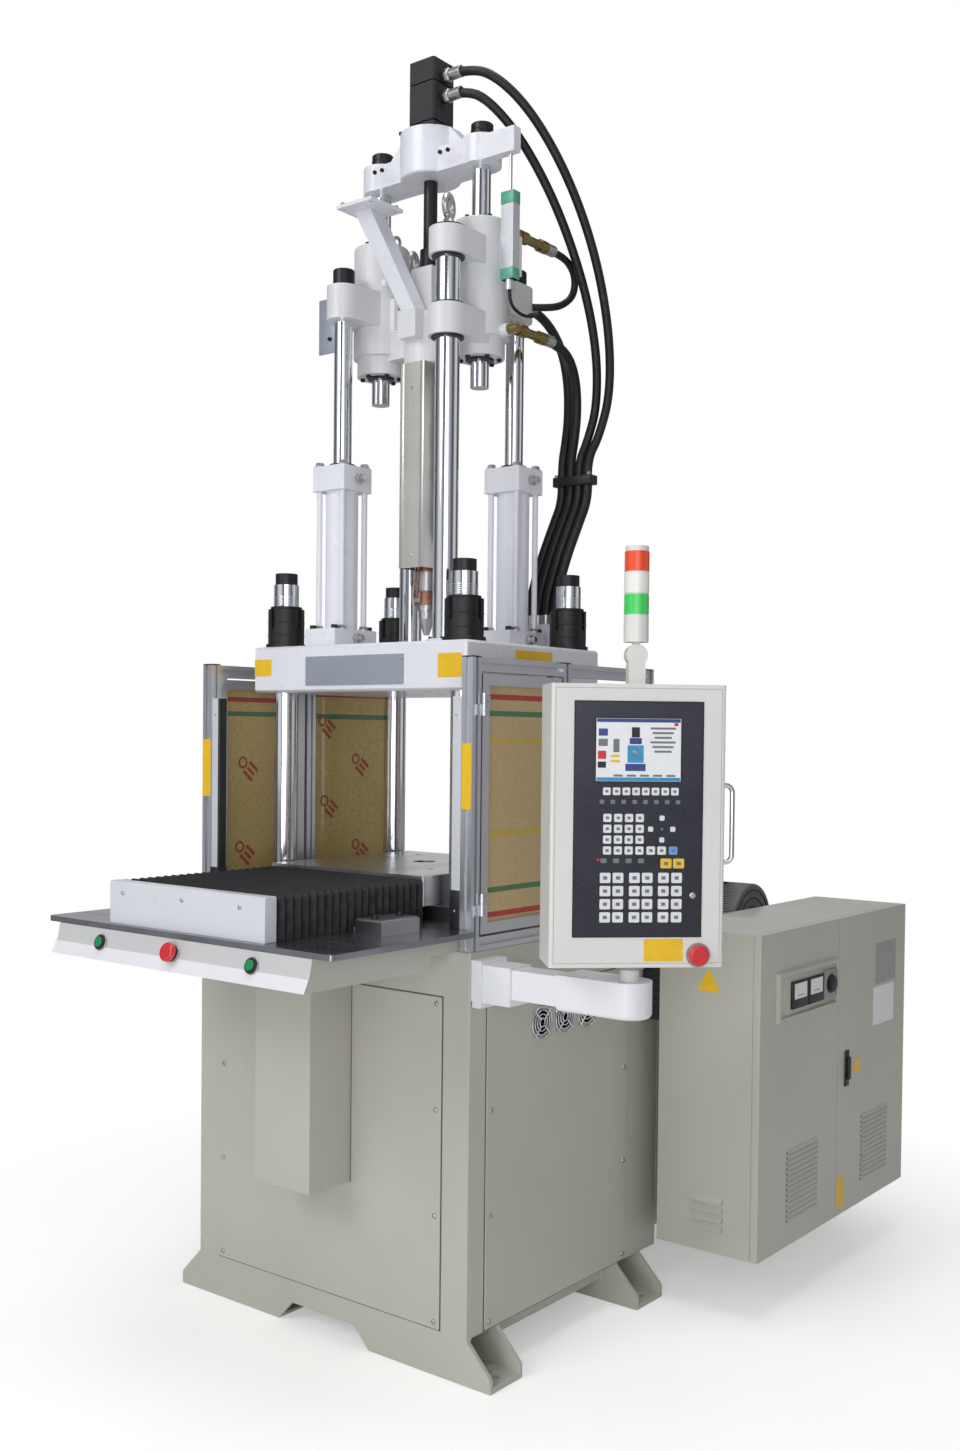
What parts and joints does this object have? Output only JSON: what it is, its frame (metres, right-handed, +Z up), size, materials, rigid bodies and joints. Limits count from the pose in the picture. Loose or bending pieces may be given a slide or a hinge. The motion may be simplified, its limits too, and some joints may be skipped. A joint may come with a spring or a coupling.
{
  "type": "vertical injection moulding machine",
  "caption": "Upright tie-bar moulding machine: sliding lower table with bellows, guarded mould space, vertical injection unit, swivel pendant, cabinet and oil tank.",
  "frame": {"origin": "on the floor under the axis of the tie bars and of the screw, at the centre of the four foot bolt holes", "axes": "+Z up, -Y towards the operator at the front, +X towards the pendant and cabinet side"},
  "size_m": [1.4532, 2.036, 3.0403],
  "materials": {
    "base_paint": "satin",
    "unit_paint": "satin",
    "cover_paint": "satin",
    "tray_steel": "satin",
    "ground_steel": "satin",
    "stainless": "brushed",
    "chrome": "polished",
    "black_steel": "satin",
    "black_motor": "satin",
    "grey_motor": "satin",
    "aluminium": "anodised",
    "kraft": "satin",
    "bellows": "matt",
    "hose": "satin",
    "brass": "satin",
    "copper": "satin",
    "green_plastic": "gloss",
    "red_plastic": "gloss",
    "keypad": "satin",
    "curtain": "satin",
    "tower": "gloss",
    "duct": "matt"
  },
  "bodies": {
    "base": {"base_frame": "base_paint", "front_panel": "base_paint", "side_panel_left": "base_paint", "side_panel_right": "base_paint", "lower_platen": "ground_steel", "clamp_cylinder": "base_paint", "tray": "tray_steel", "console": "cover_paint", "slide_cover": "cover_paint", "bellows": "bellows", "stop_block": "ground_steel", "guard_frame_left": "aluminium", "guard_frame_right": "aluminium", "guard_pane_rear": "kraft", "light_curtains": "curtain", "oil_tank": "base_paint", "pump_motor": "grey_motor", "cabinet": "base_paint", "cable_duct": "duct", "pendant_arm": "cover_paint"},
    "slide_table": {"slide_plate": "ground_steel"},
    "right_guard": {"guard_door_right": "aluminium", "guard_pane_right": "kraft"},
    "left_guard": {"guard_door_left": "aluminium", "guard_pane_left": "kraft"},
    "left_start": {"start_button_left": "green_plastic"},
    "console_stop": {"stop_button": "red_plastic"},
    "right_start": {"start_button_right": "green_plastic"},
    "front_cabinet_door": {"cabinet_door_front": "base_paint"},
    "rear_cabinet_door": {"cabinet_door_rear": "base_paint"},
    "pendant": {"pendant_box": "cover_paint", "keypad_panel": "keypad", "tower_foot": "tower"},
    "pendant_stop": {"pendant_stop_button": "red_plastic"},
    "tower": {"signal_tower": "tower"},
    "clamp": {"upper_platen": "unit_paint", "tie_bars": "chrome", "tie_bar_nuts": "black_steel", "clamp_plate": "ground_steel", "clamp_rod": "chrome", "lift_cylinders": "unit_paint", "guide_columns": "chrome"},
    "injection_carriage": {"carriage": "unit_paint", "lift_rods": "chrome", "barrel": "ground_steel", "nozzle": "ground_steel", "heater_bands": "copper", "barrel_cover": "stainless", "feed_chute": "unit_paint", "transducer": "aluminium", "hose_fittings": "brass", "carriage_leads": "hose", "hose_bundle": "hose"},
    "injection_crosshead": {"crosshead": "unit_paint", "screw_motor": "black_motor", "injection_rods": "chrome", "rod_nuts": "black_steel", "transducer_rod": "chrome", "motor_hoses": "hose"},
    "plasticising_screw": {"screw": "black_steel"}
  },
  "joints": [
    {"name": "table_slide", "type": "slide", "parent": "base", "child": "slide_table", "axis": [0, -1, 0], "range_m": [0, 0.37], "deforming": ["bellows"]},
    {"name": "right_guard_hinge", "type": "hinge", "parent": "base", "child": "right_guard", "pos_m": [0.433, -0.3175, 1.246], "axis": [0, 0, -1], "range_deg": [0, 70]},
    {"name": "left_guard_hinge", "type": "hinge", "parent": "base", "child": "left_guard", "pos_m": [-0.433, -0.3175, 1.246], "axis": [0, 0, 1], "range_deg": [0, 100]},
    {"name": "left_start_press", "type": "slide", "parent": "base", "child": "left_start", "axis": [0, 0.9455, -0.3256], "range_m": [0, 0.003], "stiffness_N_per_m": 600},
    {"name": "console_stop_press", "type": "slide", "parent": "base", "child": "console_stop", "axis": [0, 0.9455, -0.3256], "range_m": [0, 0.004], "stiffness_N_per_m": 600},
    {"name": "right_start_press", "type": "slide", "parent": "base", "child": "right_start", "axis": [0, 0.9455, -0.3256], "range_m": [0, 0.003], "stiffness_N_per_m": 600},
    {"name": "front_cabinet_hinge", "type": "hinge", "parent": "base", "child": "front_cabinet_door", "pos_m": [0.76, 0.332, 0.538], "axis": [0, 0, -1], "range_deg": [0, 110]},
    {"name": "rear_cabinet_hinge", "type": "hinge", "parent": "base", "child": "rear_cabinet_door", "pos_m": [0.76, 1.213, 0.538], "axis": [0, 0, 1], "range_deg": [0, 110]},
    {"name": "pendant_swivel", "type": "hinge", "parent": "base", "child": "pendant", "pos_m": [0.793, -0.3, 0.927], "axis": [0, 0, 1], "range_deg": [-30, 45]},
    {"name": "pendant_stop_press", "type": "slide", "parent": "pendant", "child": "pendant_stop", "axis": [-0.6947, 0.7193, 0], "range_m": [0, 0.004], "stiffness_N_per_m": 600},
    {"name": "tower_fold", "type": "hinge", "parent": "pendant", "child": "tower", "pos_m": [0.77595, -0.26363, 1.558], "axis": [-0.6947, 0.7193, 0], "range_deg": [0, 90]},
    {"name": "clamp_slide", "type": "slide", "parent": "base", "child": "clamp", "axis": [0, 0, -1], "range_m": [0, 0.2]},
    {"name": "carriage_slide", "type": "slide", "parent": "clamp", "child": "injection_carriage", "axis": [0, 0, -1], "range_m": [0, 0.15], "deforming": ["hose_bundle"]},
    {"name": "injection_slide", "type": "slide", "parent": "injection_carriage", "child": "injection_crosshead", "axis": [0, 0, -1], "range_m": [-0.02, 0.08], "deforming": ["motor_hoses"]},
    {"name": "screw_turn", "type": "hinge", "parent": "injection_crosshead", "child": "plasticising_screw", "pos_m": [0, 0, 2.5], "axis": [0, 0, 1], "continuous": true}
  ]
}
